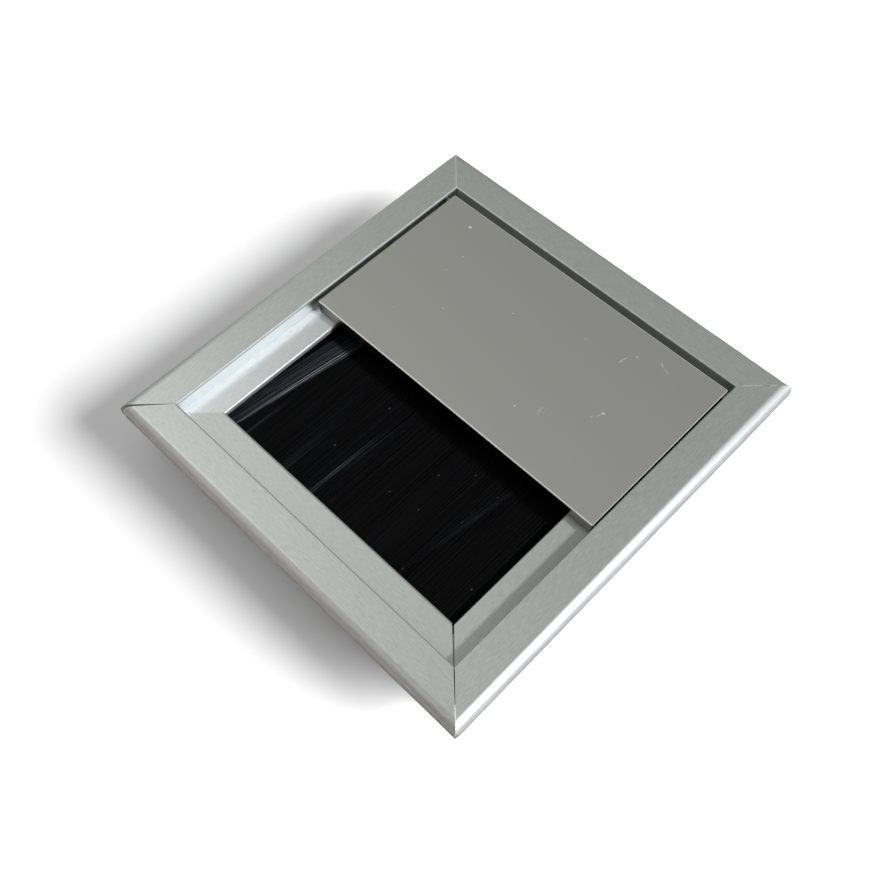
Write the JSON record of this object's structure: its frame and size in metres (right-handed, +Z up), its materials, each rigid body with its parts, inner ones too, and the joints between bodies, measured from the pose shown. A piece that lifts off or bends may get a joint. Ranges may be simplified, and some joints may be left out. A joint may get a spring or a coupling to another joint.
{
  "type": "cable grommet",
  "caption": "Square desk cable outlet: mitred brushed aluminium rim with a recessed flip-up lid over the back half and a black strip brush that closes the front half around cables.",
  "frame": {"origin": "centre of the base, on the bottom of the skirt", "axes": "+Z up, +X to the right along the hinge, +Y to the back, where the hinge is"},
  "size_m": [0.08, 0.0826, 0.0138],
  "materials": {
    "rail_aluminium": "satin anodised, fine grain along each rail",
    "lid_aluminium": "smooth satin anodised, warm grey",
    "pin_steel": "ground",
    "channel_steel": "zinc plated strip",
    "wire_steel": "drawn wire",
    "bristle_nylon": "black nylon bristles",
    "key_steel": "zinc plated",
    "screw_steel": "black oxide"
  },
  "bodies": {
    "rim": {"front_rail": "rail_aluminium", "back_rail": "rail_aluminium", "left_rail": "rail_aluminium", "right_rail": "rail_aluminium", "brush_channel": "channel_steel", "brush_core_wire": "wire_steel", "brush_bristles": "bristle_nylon", "front_left_key": "key_steel", "front_right_key": "key_steel", "back_left_key": "key_steel", "back_right_key": "key_steel", "set_screws": "screw_steel"},
    "flip_lid": {"lid": "lid_aluminium", "left_hinge_pin": "pin_steel", "right_hinge_pin": "pin_steel"}
  },
  "joints": [
    {"name": "lid_hinge", "type": "hinge", "parent": "rim", "child": "flip_lid", "pos_m": [0, 0.03185, 0.0123], "axis": [-1, 0, 0], "range_deg": [0, 115]}
  ]
}
